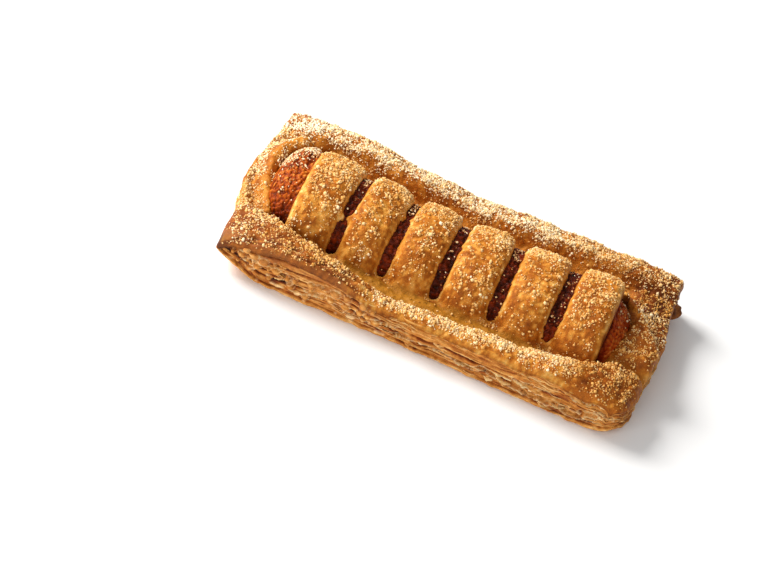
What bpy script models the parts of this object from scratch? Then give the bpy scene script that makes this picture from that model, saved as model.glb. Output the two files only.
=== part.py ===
"""Savoury puff pastry roll: a base sheet, a long moulded meat filling and a slotted top sheet baked over it.

Row frame: +X along the roll, +Y across it, +Z up, origin under its middle on the surface it rests on.
Lengths are written in millimetres and turned to metres where a mesh is made.
"""

import bmesh
import bpy
import numpy as np

MM = 0.001

# Driving sizes of the whole roll.
LENGTH = 160.0
END_BOW = 2.0
WIDTH = 80.0
SIDE_WAIST = 1.5
CREST = 31.0
CORNER_RADIUS = 7.0

# Base sheet.
BASE_EDGE_THICKNESS = 5.5
BASE_BED_THICKNESS = 4.6
FOOT_ROUNDING = 1.6
CORNER_LIFT = 3.0
CORNER_LIFT_REACH = 22.0

# Rim of the top sheet: a puffed roll round the border with a pressed groove inside it.
EDGE_HEIGHT = 13.0
RIM_HEIGHT = 17.0
RIM_INSET = 6.0
GROOVE_HEIGHT = 11.5
GROOVE_INSET = 14.0
PINCH = 3.5

# Vault of the top sheet over the filling, and the filling itself.
VAULT_CENTRE_X = -1.0
VAULT_HALF_LENGTH = 76.0
VAULT_HALF_WIDTH = 24.0
VAULT_SPRING = 4.6
SHEET_THICKNESS = 3.6
VAULT_POWER_X = 7.0
VAULT_POWER_Y = 2.3

# Slits cut across the top sheet. The two end ones have pulled open.
SLIT_PITCH = 20.8
SLIT_CENTRE_X = -0.9
SLIT_WIDTH = 5.0
SLIT_LENGTH = 43.0
MIDDLE_SLITS = 5
END_SLIT_LEFT = (-73.5, -60.5)
END_SLIT_RIGHT = (61.5, 70.5)
END_SLIT_LENGTH = 42.0

CLEARANCE = 0.4
FILLING_SHRINK = 1.0
LID_GRID = (45, 29)
BASE_GRID = (23, 15)
FILLING_GRID = (29, 15)
OUTLINE_STEPS = 24


def clear_scene():
    for obj in list(bpy.data.objects):
        bpy.data.objects.remove(obj)


def border_distance(x, y):
    """Distance inwards from the roll's rounded rectangular outline."""
    qx = np.abs(x) - (LENGTH / 2 - CORNER_RADIUS)
    qy = np.abs(y) - (WIDTH / 2 - CORNER_RADIUS)
    outside = np.hypot(np.maximum(qx, 0), np.maximum(qy, 0))
    inside = np.minimum(np.maximum(qx, qy), 0)
    return np.maximum(CORNER_RADIUS - outside - inside, 0)


def corner_share(x, y):
    """1 at a corner of the sheet, falling smoothly to 0 within CORNER_LIFT_REACH of it."""
    far = np.hypot(LENGTH / 2 - np.abs(x), WIDTH / 2 - np.abs(y))
    near = np.clip(1 - far / CORNER_LIFT_REACH, 0, 1)
    return near * near * (3 - 2 * near)


def vault(x, y, inset):
    """Height of the long blunt-ended dome, drawn in by inset on every side."""
    along = np.abs(x - VAULT_CENTRE_X) / (VAULT_HALF_LENGTH - inset)
    across = np.abs(y) / (VAULT_HALF_WIDTH - inset)
    room = 1 - along**VAULT_POWER_X - across**VAULT_POWER_Y
    return VAULT_SPRING + (CREST - VAULT_SPRING - inset) * np.sqrt(np.maximum(room, 0))


def foot_height(x, y):
    """Underside of the base: flat, with a rounded edge and slightly raised corners."""
    reach = np.clip(1 - border_distance(x, y) / FOOT_ROUNDING, 0, 1)
    rounding = FOOT_ROUNDING * (1 - np.sqrt(1 - 0.9 * reach * reach))
    return rounding + CORNER_LIFT * corner_share(x, y)


def base_height(x, y):
    """Top face of the base sheet, a little thinner under the filling."""
    bed = np.clip((border_distance(x, y) - RIM_INSET) / (GROOVE_INSET - RIM_INSET), 0, 1)
    flat = BASE_EDGE_THICKNESS + (BASE_BED_THICKNESS - BASE_EDGE_THICKNESS) * bed
    return flat + 0.6 * CORNER_LIFT * corner_share(x, y)


def rim_height(x, y):
    """Puffed border: up from the edge to the rim's crest, then down into the pressed groove."""
    inwards = border_distance(x, y)
    rise = np.sin(np.clip(inwards / RIM_INSET, 0, 1) * np.pi / 2)
    fall = np.clip((inwards - RIM_INSET) / (GROOVE_INSET - RIM_INSET), 0, 1)
    fall = fall * fall * (3 - 2 * fall)
    height = EDGE_HEIGHT + (RIM_HEIGHT - EDGE_HEIGHT) * rise
    return height + (GROOVE_HEIGHT - RIM_HEIGHT) * fall - PINCH * corner_share(x, y)


def lid_height(x, y):
    """Top face of the top sheet: the higher of the puffed border and the vault, with a soft join."""
    border = rim_height(x, y)
    dome = vault(*bowed(x, y), 0.0)
    soft = 1.2
    return soft * np.logaddexp(border / soft, dome / soft)


def lid_underside(x, y):
    """Underside of the top sheet: it lies on the base, and bridges the filling."""
    dome = vault(*bowed(x, y), SHEET_THICKNESS)
    return np.maximum(base_height(x, y), dome) + CLEARANCE


def scan_grid(half_length_at, half_width, size):
    """Points of a grid whose rows run along X, each as long as the outline is at that row's Y."""
    along, across = size
    rows = half_width * np.sin(np.linspace(-1, 1, across) * np.pi / 2)
    columns = np.sin(np.linspace(-1, 1, along) * np.pi / 2) * 0.35 + np.linspace(-1, 1, along) * 0.65
    y = np.repeat(rows[:, None], along, axis=1)
    x = columns[None, :] * half_length_at(rows)[:, None]
    return x, y


def bowed(x, y):
    """Rounded rectangle to the baked outline: ends bow outwards, long sides draw in."""
    longer = 1 + 2 * END_BOW / LENGTH * (1 - (2 * y / WIDTH) ** 2)
    narrower = 1 - 2 * SIDE_WAIST / WIDTH * (1 - (2 * x / LENGTH) ** 2)
    return x * longer, y * narrower


def outline_half_length(y):
    """Half length of the rounded rectangle at height y across it."""
    over = np.clip(np.abs(y) - (WIDTH / 2 - CORNER_RADIUS), 0, CORNER_RADIUS)
    return LENGTH / 2 - CORNER_RADIUS + np.sqrt(CORNER_RADIUS**2 - over**2)


def solid_between(name, x, y, lower, upper):
    """One closed solid between two heights over the same grid, as a named object."""
    rows, columns = x.shape
    count = rows * columns
    index = np.arange(count).reshape(rows, columns)
    points = np.concatenate(
        [np.stack([x, y, lower], -1).reshape(-1, 3), np.stack([x, y, upper], -1).reshape(-1, 3)]
    )
    a, b = index[:-1, :-1].ravel(), index[:-1, 1:].ravel()
    c, d = index[1:, 1:].ravel(), index[1:, :-1].ravel()
    # The same diagonal in both faces keeps thin places from crossing.
    halves = np.concatenate([np.stack([a, b, c], -1), np.stack([a, c, d], -1)])
    ring = np.concatenate([index[0, :-1], index[:-1, -1], index[-1, :0:-1], index[:0:-1, 0]])
    after = np.roll(ring, -1)
    side = np.stack([ring, after, after + count, ring + count], -1)
    mesh = bpy.data.meshes.new(name)
    faces = (halves[:, ::-1]).tolist() + (halves + count).tolist() + side.tolist()
    mesh.from_pydata((points * MM).tolist(), [], faces)
    mesh.shade_smooth()
    mesh.set_sharp_from_angle(angle=np.radians(50))
    obj = bpy.data.objects.new(name, mesh)
    bpy.context.scene.collection.objects.link(obj)
    return obj


def prism(name, outline):
    """Upright cutter over a closed outline of (x, y) points, tall enough to pass through the top sheet."""
    body = bmesh.new()
    floor = [body.verts.new((px * MM, py * MM, -MM)) for px, py in outline]
    face = body.faces.new(floor)
    raised = bmesh.ops.extrude_face_region(body, geom=[face])
    lifted = [v for v in raised["geom"] if isinstance(v, bmesh.types.BMVert)]
    bmesh.ops.translate(body, verts=lifted, vec=(0, 0, (CREST + 10) * MM))
    bmesh.ops.recalc_face_normals(body, faces=body.faces)
    mesh = bpy.data.meshes.new(name)
    body.to_mesh(mesh)
    body.free()
    obj = bpy.data.objects.new(name, mesh)
    bpy.context.scene.collection.objects.link(obj)
    obj.hide_render = True
    obj.display_type = "WIRE"
    return obj


def slit_outline(low_x, high_x, length, straight_side=0):
    """Slit with rounded ends. With straight_side 1 or -1 that side stays straight and the other bows out."""
    turn = np.linspace(0, 2 * np.pi, OUTLINE_STEPS, endpoint=False) + np.pi / OUTLINE_STEPS
    roundness = 0.35
    sx = np.sign(np.cos(turn)) * np.abs(np.cos(turn)) ** roundness
    sy = np.sin(turn)
    if straight_side:
        bowed = np.sign(np.cos(turn)) * np.abs(np.cos(turn)) ** 0.9
        sx = np.where(sx * straight_side > 0, sx, bowed)
    x = (low_x + high_x) / 2 + (high_x - low_x) / 2 * sx
    return list(zip(x, length / 2 * sy))


def slits():
    """Cutters for the five middle slits and the two opened end slits, from -X to +X."""
    cutters = [prism("slit_end_left", slit_outline(*END_SLIT_LEFT, END_SLIT_LENGTH, 1))]
    for number in range(MIDDLE_SLITS):
        centre = SLIT_CENTRE_X + SLIT_PITCH * (number - (MIDDLE_SLITS - 1) / 2)
        outline = slit_outline(centre - SLIT_WIDTH / 2, centre + SLIT_WIDTH / 2, SLIT_LENGTH)
        cutters.append(prism(f"slit_{number + 1}", outline))
    cutters.append(prism("slit_end_right", slit_outline(*END_SLIT_RIGHT, END_SLIT_LENGTH, -1)))
    return cutters


def base_sheet():
    x, y = scan_grid(outline_half_length, WIDTH / 2, BASE_GRID)
    return solid_between("base_sheet", *bowed(x, y), foot_height(x, y), base_height(x, y))


def top_sheet():
    x, y = scan_grid(outline_half_length, WIDTH / 2, LID_GRID)
    lid = solid_between("top_sheet", *bowed(x, y), lid_underside(x, y), lid_height(x, y))
    for cutter in slits():
        cut = lid.modifiers.new(cutter.name, "BOOLEAN")
        cut.operation = "DIFFERENCE"
        cut.object = cutter
    return lid


def filling():
    """The filling fills the vault under the top sheet and lies on the base."""
    inset = SHEET_THICKNESS + FILLING_SHRINK
    half_width = (VAULT_HALF_WIDTH - inset) * 0.98

    def half_length(y):
        room = 0.97 - (np.abs(y) / (VAULT_HALF_WIDTH - inset)) ** VAULT_POWER_Y
        return (VAULT_HALF_LENGTH - inset) * np.maximum(room, 0.001) ** (1 / VAULT_POWER_X)

    x, y = scan_grid(half_length, half_width, FILLING_GRID)
    x = x + VAULT_CENTRE_X
    return solid_between("filling", x, y, base_height(x, y) + CLEARANCE, vault(x, y, inset))


def baked(name, colour, roughness):
    """Plain finish: colour as linear red, green and blue."""
    material = bpy.data.materials.new(name)
    material.use_nodes = True
    shader = material.node_tree.nodes["Principled BSDF"]
    shader.inputs["Base Color"].default_value = (*colour, 1.0)
    shader.inputs["Roughness"].default_value = roughness
    shader.inputs["Metallic"].default_value = 0.0
    return material


def main():
    clear_scene()
    finishes = {
        "base_sheet": baked("pale_pastry", (0.50, 0.26, 0.09), 0.7),
        "top_sheet": baked("golden_pastry", (0.52, 0.24, 0.06), 0.55),
        "filling": baked("spiced_meat", (0.38, 0.09, 0.02), 0.5),
    }
    for piece in (base_sheet(), top_sheet(), filling()):
        piece.data.materials.append(finishes[piece.name])


main()
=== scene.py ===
"""Savoury puff pastry roll: laminated sheets baked round a long meat filling, sprinkled with breadcrumbs.

+X runs along the roll, +Y across it, +Z up. Lengths are in millimetres until a mesh is made.
"""

import bpy
import numpy as np
from mathutils import Matrix, Quaternion, Vector


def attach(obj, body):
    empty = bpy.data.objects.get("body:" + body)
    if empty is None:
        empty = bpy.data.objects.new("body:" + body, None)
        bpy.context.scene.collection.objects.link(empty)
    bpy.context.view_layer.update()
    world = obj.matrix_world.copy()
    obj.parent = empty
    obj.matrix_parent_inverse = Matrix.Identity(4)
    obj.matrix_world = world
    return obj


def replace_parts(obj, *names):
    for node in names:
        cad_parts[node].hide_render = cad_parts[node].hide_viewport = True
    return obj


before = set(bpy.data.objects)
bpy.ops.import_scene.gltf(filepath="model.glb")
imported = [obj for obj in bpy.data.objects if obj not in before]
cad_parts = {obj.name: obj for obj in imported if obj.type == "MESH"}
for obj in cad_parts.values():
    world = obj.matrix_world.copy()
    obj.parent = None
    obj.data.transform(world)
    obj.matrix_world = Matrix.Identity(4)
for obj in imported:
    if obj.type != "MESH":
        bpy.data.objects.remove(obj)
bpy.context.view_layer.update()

MM = 0.001

# ---------------------------------------------------------------- camera and light

CAMERA_PLACE = (51.46, -813.83, 724.34)
CAMERA_TARGET = (-17.65, -30.46, 15.0)
CAMERA_ROLL = 20.4
CAMERA_LENS = 138.6
SENSOR_WIDTH = 36.0

WARM_WHITE = (1.0, 0.985, 0.96)
WORLD_STRENGTH = 0.41
# Half the floor's side, in metres.
FLOOR_HALF = 4.0
FLOOR_WHITE = 0.93


def add_camera():
    """Long lens aimed at a point in the roll's left half, and rolled about its own view axis."""
    ahead = Vector(CAMERA_TARGET) - Vector(CAMERA_PLACE)
    turn = ahead.to_track_quat("-Z", "Y") @ Quaternion((0, 0, 1), np.radians(CAMERA_ROLL))
    data = bpy.data.cameras.new("camera")
    data.lens = CAMERA_LENS
    data.sensor_width = SENSOR_WIDTH
    data.clip_start = 0.01
    data.clip_end = 20.0
    camera = bpy.data.objects.new("camera", data)
    camera.matrix_world = Matrix.LocRotScale(Vector(CAMERA_PLACE) * MM, turn, None)
    bpy.context.scene.collection.objects.link(camera)
    bpy.context.scene.camera = camera


def add_softbox(name, place, size, power):
    """Square warm white area light aimed at the roll's middle: place and side in mm, power in watts."""
    data = bpy.data.lights.new(name, "AREA")
    data.size = size * MM
    data.energy = power
    data.color = WARM_WHITE
    light = bpy.data.objects.new(name, data)
    aim = Vector((0, 0, 10)) - Vector(place)
    light.matrix_world = Matrix.LocRotScale(Vector(place) * MM, aim.to_track_quat("-Z", "Y"), None)
    bpy.context.scene.collection.objects.link(light)


def add_floor():
    """Plain pale studio floor: one matt square."""
    corners = [(-1, -1), (1, -1), (1, 1), (-1, 1)]
    mesh = bpy.data.meshes.new("studio_floor")
    mesh.from_pydata([(FLOOR_HALF * x, FLOOR_HALF * y, 0) for x, y in corners], [], [(0, 1, 2, 3)])
    floor = bpy.data.objects.new("studio_floor", mesh)
    bpy.context.scene.collection.objects.link(floor)
    paper = bpy.data.materials.new("white_paper")
    paper.use_nodes = True
    shader = paper.node_tree.nodes["Principled BSDF"]
    shader.inputs["Base Color"].default_value = (FLOOR_WHITE, FLOOR_WHITE, FLOOR_WHITE, 1)
    shader.inputs["Roughness"].default_value = 0.9
    shader.inputs["Specular IOR Level"].default_value = 0.0
    mesh.materials.append(paper)


def add_world():
    """Even white light from all round."""
    world = bpy.data.worlds.new("studio")
    world.use_nodes = True
    background = world.node_tree.nodes["Background"]
    background.inputs["Color"].default_value = (1.0, 1.0, 1.0, 1)
    background.inputs["Strength"].default_value = WORLD_STRENGTH
    bpy.context.scene.world = world


# ---------------------------------------------------------------- numbers and noise


def linear(code):
    """sRGB hex to linear red, green and blue."""
    value = np.array([int(code[i : i + 2], 16) for i in (1, 3, 5)]) / 255
    return np.where(value <= 0.04045, value / 12.92, ((value + 0.055) / 1.055) ** 2.4)


def ramp(amount, codes):
    """Colours for amounts 0 to 1 along evenly spaced hex codes, as linear (..., 3).

    An amount beyond either end takes the end's colour.
    """
    stops = np.array([linear(code) for code in codes])
    places = np.linspace(0, 1, len(codes))
    return np.stack([np.interp(amount, places, stops[:, band]) for band in range(3)], -1)


def tint(colour, code, share):
    """Colour moved a share of the way to a hex colour."""
    return colour + (linear(code) - colour) * np.clip(share, 0, 1)[..., None]


def smooth_step(t):
    """0 up to 0 and 1 from 1 on, easing between them: 3 t squared less 2 t cubed."""
    t = np.clip(t, 0, 1)
    return t * t * (3 - 2 * t)


def eased(x, stops):
    """Value that passes through each (place, value) stop, easing from one to the next."""
    places, values = np.array(stops, float).T
    k = np.clip(np.searchsorted(places, x) - 1, 0, len(places) - 2)
    t = smooth_step((x - places[k]) / (places[k + 1] - places[k]))
    return values[k] + (values[k + 1] - values[k]) * t


def bump(x, y, centre, reach):
    """1 at a centre, falling as a bell to about a third at reach = (along x, along y)."""
    return np.exp(-(((x - centre[0]) / reach[0]) ** 2 + ((y - centre[1]) / reach[1]) ** 2))


def ridge(distance, middle, width):
    """1 at the middle distance, falling as a bell to about a third at width to either side."""
    return np.exp(-(((distance - middle) / width) ** 2))


def soft_max(first, second, softness):
    """The higher of two heights with a fillet of about softness between them."""
    return softness * np.logaddexp(first / softness, second / softness)


def rounded_off(distance, radius):
    """Drop of a rounded edge: a quarter circle, radius deep at the edge and 0 a radius inwards."""
    inside = np.clip(distance, 0, radius)
    return radius - np.sqrt(np.maximum(radius**2 - (radius - inside) ** 2, 0))


def hashed(place, seed):
    """Repeatable random number from 0 to 1 for each whole-number lattice point (..., 3).

    The large odd factors and the shifts only mix the bits.
    """
    n = (place @ np.array([374761393, 668265263, 1442695041])) + seed * 1274126177
    n &= 0xFFFFFFFF
    n = ((n ^ (n >> 13)) * 1103515245) & 0xFFFFFFFF
    n = ((n ^ (n >> 15)) * 668265263) & 0xFFFFFFFF
    return ((n ^ (n >> 16)) & 0xFFFFFF) / 0xFFFFFF


def lumps(x, y, z, size, seed):
    """Value noise from -1 to 1 with one lump per size, eased between lattice points."""
    place = np.stack(np.broadcast_arrays(x, y, z), -1) / size
    corner = np.floor(place).astype(np.int64)
    part = smooth_step(place - corner)
    total = 0
    for step in np.ndindex(2, 2, 2):
        weight = np.prod(np.where(np.array(step) == 1, part, 1 - part), -1)
        total = total + weight * hashed(corner + np.array(step), seed)
    return 2 * total - 1


def grain(x, y, z, size, octaves, seed):
    """Sum of lumps, each octave half as big and half as strong as the last."""
    total = 0
    for octave in range(octaves):
        total = total + lumps(x, y, z, size / 2**octave, seed + octave) / 2**octave
    return total


def beads(x, y, z, size, seed):
    """Packed grains: 1 in the middle of each and 0 in the crevices, and a random number per grain.

    The distance to the nearest of a jittered lattice of points, one point per size.
    """
    place = np.stack(np.broadcast_arrays(x, y, z), -1) / size
    cell = np.floor(place).astype(np.int64)
    nearest = np.full(place.shape[:-1], 9.0)
    own = np.zeros_like(nearest)
    for step in np.ndindex(3, 3, 3):
        corner = cell + np.array(step) - 1
        jitter = np.stack([hashed(corner, seed + axis) for axis in range(3)], -1)
        away = np.sum((place - corner - jitter) ** 2, -1)
        own = np.where(away < nearest, hashed(corner, seed + 3), own)
        nearest = np.minimum(nearest, away)
    return np.clip(1 - nearest / 0.55, 0, 1), own


# ---------------------------------------------------------------- mesh and material helpers


def grid_quads(rows, columns, wrap_rows=False, wrap_columns=False):
    """Corner numbers of the quads of a grid, whose ends may be joined either way."""
    index = np.arange(rows * columns).reshape(rows, columns)
    if wrap_rows:
        index = np.vstack([index, index[:1]])
    if wrap_columns:
        index = np.hstack([index, index[:, :1]])
    corners = (index[:-1, :-1], index[:-1, 1:], index[1:, 1:], index[1:, :-1])
    return np.stack([corner.ravel() for corner in corners], -1)


def grid_rim(rows, columns):
    """Vertex numbers round the edge of a grid, anticlockwise seen from above."""
    index = np.arange(rows * columns).reshape(rows, columns)
    return np.concatenate([index[0, :-1], index[:-1, -1], index[-1, :0:-1], index[:0:-1, 0]])


def outward(px, py, span):
    """Unit directions out of a closed anticlockwise loop, from the points span steps ahead and back."""
    ahead_x = np.roll(px, -span) - np.roll(px, span)
    ahead_y = np.roll(py, -span) - np.roll(py, span)
    size = np.maximum(np.hypot(ahead_x, ahead_y), 1e-6)
    return ahead_y / size, -ahead_x / size


def make_piece(name, points, faces, material, colour, caps=(), dust=None):
    """Smooth object of points in mm, at the origin, on the part's body, with its material.

    faces has 3 or 4 corners each, and each cap is one face with the ring of points it names.
    colour goes into the shade attribute, and dust, the share that crumb dust hides, into its own.
    """
    rings = [np.asarray(cap) for cap in caps]
    loops = np.concatenate([faces.ravel()] + rings)
    sizes = np.concatenate([np.full(len(faces), faces.shape[1]), [len(ring) for ring in rings]])
    starts = np.concatenate([[0], np.cumsum(sizes)[:-1]]).astype(np.int32)
    mesh = bpy.data.meshes.new(name)
    mesh.vertices.add(len(points))
    mesh.vertices.foreach_set("co", (points * MM).astype(np.float32).ravel())
    mesh.loops.add(len(loops))
    mesh.loops.foreach_set("vertex_index", loops.astype(np.int32))
    mesh.polygons.add(len(starts))
    mesh.polygons.foreach_set("loop_start", starts)
    mesh.polygons.foreach_set("use_smooth", np.full(len(starts), True))
    mesh.update(calc_edges=True)
    shade = mesh.attributes.new("shade", "FLOAT_COLOR", "POINT")
    rgba = np.ones((len(points), 4), np.float32)
    rgba[:, :3] = np.clip(colour, 0, 1)
    shade.data.foreach_set("color", rgba.ravel())
    if dust is not None:
        cover = mesh.attributes.new("dust", "FLOAT", "POINT")
        cover.data.foreach_set("value", dust.astype(np.float32).ravel())
    mesh.materials.append(material)
    piece = bpy.data.objects.new(name, mesh)
    bpy.context.scene.collection.objects.link(piece)
    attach(piece, "root")
    return piece


def add(tree, kind, inputs=None, **settings):
    """Adds a shader node with its settings; an input is a value or another node's socket.

    Inputs 1 and 2 of a MapRange are the span it reads, and 3 and 4 the span it gives.
    """
    made = tree.nodes.new("ShaderNode" + kind)
    for key, value in settings.items():
        setattr(made, key, value)
    for key, value in (inputs or {}).items():
        if isinstance(value, bpy.types.NodeSocket):
            tree.links.new(value, made.inputs[key])
        else:
            made.inputs[key].default_value = value
    return made


def food(name, fine_size, coarse_size, contrast, relief, surface, dusted=None):
    """Baked or cooked food: its own shade attribute, flecked and roughened at two sizes in mm.

    contrast is how far the flecks lighten and darken it, relief the height of the grain in mm, and
    surface holds the constant shader values. dusted is the hex colour of the crumb dust that lies on
    it where its dust attribute is above 0. Real dust is finer than its cells of 0.75 mm, but would
    not show if it were drawn so.
    """
    material = bpy.data.materials.new(name)
    material.use_nodes = True
    tree = material.node_tree
    shader = tree.nodes["Principled BSDF"]
    place = add(tree, "TexCoord").outputs["Object"]
    shade = add(tree, "Attribute", attribute_name="shade").outputs["Color"]
    fine = add(tree, "TexNoise", {"Vector": place, "Scale": 1000 / fine_size, "Detail": 3.0})
    coarse = add(tree, "TexNoise", {"Vector": place, "Scale": 1000 / coarse_size, "Detail": 2.0})
    both = add(tree, "Math", {0: fine.outputs["Fac"], 1: coarse.outputs["Fac"]}, operation="ADD")
    flecked = {"Value": both.outputs[0], 1: 0.6, 2: 1.4, 3: 1 - contrast, 4: 1 + contrast}
    fleck = add(tree, "MapRange", flecked)
    tinted = add(tree, "VectorMath", {0: shade, "Scale": fleck.outputs[0]}, operation="SCALE").outputs[0]
    height = both.outputs[0]
    if dusted:
        cover = add(tree, "Attribute", attribute_name="dust").outputs["Fac"]
        cells = add(tree, "TexVoronoi", {"Vector": place, "Scale": 1000 / 0.75})
        outer = add(tree, "Math", {0: cover, 1: 0.62}, operation="MULTIPLY").outputs[0]
        inner = add(tree, "Math", {0: cover, 1: 0.34}, operation="MULTIPLY").outputs[0]
        inside = {"Value": cells.outputs["Distance"], 1: outer, 2: inner, 3: 0.0, 4: 1.0}
        grains = add(tree, "MapRange", inside).outputs[0]
        tone = add(tree, "SeparateColor", {"Color": cells.outputs["Color"]}).outputs[0]
        toast = add(tree, "MapRange", {"Value": tone, 3: 0.72, 4: 1.05}).outputs[0]
        pale = tuple(linear(dusted))
        crumb = add(tree, "VectorMath", {0: pale, "Scale": toast}, operation="SCALE").outputs[0]
        tinted = add(tree, "Mix", {0: grains, 6: tinted, 7: crumb}, data_type="RGBA").outputs[2]
        height = add(tree, "Math", {0: height, 1: grains}, operation="ADD").outputs[0]
    pitted = add(tree, "Bump", {"Height": height, "Distance": relief * MM, "Strength": 1.0})
    tree.links.new(tinted, shader.inputs["Base Color"])
    tree.links.new(pitted.outputs["Normal"], shader.inputs["Normal"])
    for key, value in surface.items():
        shader.inputs[key].default_value = value
    return material


# Laminated dough, glazed and baked: dry, with a faint waxy sheen on the browned top.
egg_glaze = {"Roughness": 0.5, "Specular IOR Level": 0.11}
crust = food("glazed_puff_pastry", 0.5, 1.8, 0.28, 0.26, egg_glaze, "#E6BE76")
# The same dough where its cut layers have opened: matt and papery.
leaves = food("open_pastry_layers", 0.4, 1.6, 0.26, 0.25, {"Roughness": 0.65, "Specular IOR Level": 0.2})
# Coarse minced meat in spiced tomato fat: wet, so its lumps catch small sharp lights.
mince = food("spiced_mince", 0.45, 1.3, 0.3, 0.25, {"Roughness": 0.34, "Specular IOR Level": 0.08})
# Dry breadcrumbs: matt, each with its own toast.
bread = food("dry_breadcrumbs", 0.3, 0.9, 0.12, 0.08, {"Roughness": 0.7, "Specular IOR Level": 0.15})

# ---------------------------------------------------------------- outline of the roll

HALF_LENGTH = 80.0
HALF_WIDTH = 39.75
CORNER = 2.4
# How far each end bows out at a place across the roll, and each side draws in at a place along it.
LEFT_BOW = [(-41, -0.4), (-21, -0.6), (-13, 0.7), (-3.5, 2.9), (7, 3.2), (18, 1.6), (28.5, 0.1), (41, 0)]
RIGHT_BOW = [(-41, -3.4), (-33, -1.2), (-24, 0), (-10, 0.8), (-3, 1.7), (5.6, 2.0), (13, 1.0), (22, 0),
             (34, -0.4), (41, 0.2)]
NEAR_DRAW = [(-83, 0), (-42, 0.6), (0, 1.3), (40, 0.6), (66, 0.4), (75, 1.1), (83, 3.2)]
FAR_DRAW = [(-83, 0), (-44, 0.2), (-28, 1.2), (-10, 1.9), (4, 1.5), (39, 0.8), (60, 0.5), (83, -0.2)]


def end_bow(x, y):
    """Bow of the nearer end at this place across, with the small waver of a hand-cut edge."""
    bow = np.where(x < 0, eased(y, LEFT_BOW), eased(y, RIGHT_BOW))
    return bow + 0.35 * lumps(np.sign(x) * 40, y, 0, 6, 91)


def side_draw(x, y):
    """Draw-in of the nearer long side at this place along, with its waver."""
    draw = np.where(y < 0, eased(x, NEAR_DRAW), eased(x, FAR_DRAW))
    return draw + 0.35 * lumps(x, np.sign(y) * 40, 0, 7, 92)


def baked_outline(x, y):
    """Plain rectangle to baked outline: only its outer fifth is moved, the edge most."""
    return (
        x + np.sign(x) * end_bow(x, y) * np.abs(x / HALF_LENGTH) ** 5,
        y - np.sign(y) * side_draw(x, y) * np.abs(y / HALF_WIDTH) ** 5,
    )


def border_distance(x, y):
    """Distance inwards from the baked outline, of a plain rounded rectangle moved as its edges are."""
    qx = np.abs(x) - end_bow(x, y) - (HALF_LENGTH - CORNER)
    qy = np.abs(y) + side_draw(x, y) - (HALF_WIDTH - CORNER)
    outside = np.hypot(np.maximum(qx, 0), np.maximum(qy, 0))
    return CORNER - outside - np.minimum(np.maximum(qx, qy), 0)


def rounded_plan(u, v):
    """Square grid from -1 to 1 to the rounded outline; only the corner squares are bent, onto discs."""
    x, y = u * HALF_LENGTH, v * HALF_WIDTH
    a = np.maximum(np.abs(x) - (HALF_LENGTH - CORNER), 0) / CORNER
    b = np.maximum(np.abs(y) - (HALF_WIDTH - CORNER), 0) / CORNER
    x = np.sign(x) * (np.minimum(np.abs(x), HALF_LENGTH - CORNER) + CORNER * a * np.sqrt(1 - b * b / 2))
    y = np.sign(y) * (np.minimum(np.abs(y), HALF_WIDTH - CORNER) + CORNER * b * np.sqrt(1 - a * a / 2))
    return baked_outline(x, y)


def outline(count):
    """Points evenly round the outline from the middle of the near side, with outward directions."""
    walk = np.linspace(0, 8, 8001)
    corners = np.array([[0, -1], [1, -1], [1, 1], [-1, 1], [-1, -1], [0, -1]], float)
    u, v = (np.interp(walk, [0, 1, 3, 5, 7, 8], corners[:, axis]) for axis in range(2))
    px, py = rounded_plan(u, v)
    run = np.concatenate([[0], np.cumsum(np.hypot(np.diff(px), np.diff(py)))])
    even = np.linspace(0, run[-1], count, endpoint=False)
    px, py = np.interp(even, run, px), np.interp(even, run, py)
    return px, py, *outward(px, py, 4)


# ---------------------------------------------------------------- heights of the baked shape

# Heights above the ground, and lengths from the roll's middle.
VALLEY = 9.4
ARCH_FOOT = 4.6
SHEET_THICKNESS = 3.5
FILLING_FLOOR = 5.0
FILLING_MIDDLE = -2.0
FILLING_HALF = 72.6
# The filling's taper ends this far from its middle, just beyond its last point.
TAPER_HALF = 72.65

# Rims, as (place along or across, height or place of the inner edge), and the bands' crest.
NEAR_CREST = [(-82, 13.5), (-72, 17.4), (-57, 19.0), (-38, 18.8), (-18, 15.4), (7, 15.6), (30, 16.6),
              (52, 18.8), (68, 17.4), (80, 14.0)]
NEAR_INNER = [(-82, -17.5), (-66, -20.5), (-59, -24.4), (-50, -27.4), (-39, -30.4), (-26, -31.4),
              (-13, -32.3), (2, -31.9), (20, -31), (34, -30.2), (43, -29.7), (56, -26.8), (61, -23.4),
              (68, -19), (82, -16.5)]
FAR_CREST = [(-82, 17), (-66, 18.4), (-45, 19), (-28, 17.4), (-8, 16.8), (16, 17.6), (40, 18.2),
             (62, 18.4), (74, 17.6), (82, 17)]
FAR_INNER = [(-82, 25), (-60, 27), (-40, 28.5), (-20, 27.5), (0, 26.5), (20, 27), (40, 28.5), (60, 29),
             (82, 28)]
LEFT_CREST = [(-40, 12), (-30, 15), (-12, 16.4), (10, 17), (28, 17), (40, 16)]
RIGHT_CREST = [(-40, 12.5), (-28, 14.5), (-10, 13.6), (10, 13.0), (30, 14.0), (40, 15.6)]
ARCH_CREST = [(-80, 28), (-62, 30.2), (-50, 30.6), (-41, 30.2), (-22, 28.2), (-3, 27.6), (3, 27.4),
              (18, 28.4), (24, 28.2), (40, 29.4), (48, 29.8), (58, 30.4), (70, 27)]
NEAR_REACH = 25.0
FAR_REACH = 20.8

# Slits: centre at the near and far end, half width at each, near and far end across the roll.
SLITS = [
    (-42.2, -40.4, 1.9, 1.4, -21.9, 18.0),
    (-22.4, -20.9, 1.7, 1.2, -21.6, 16.8),
    (-1.9, -1.2, 1.9, 1.7, -20.9, 16.5),
    (20.2, 19.8, 2.1, 1.8, -20.3, 17.5),
    (41.4, 42.0, 2.2, 1.9, -19.9, 18.4),
]
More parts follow.
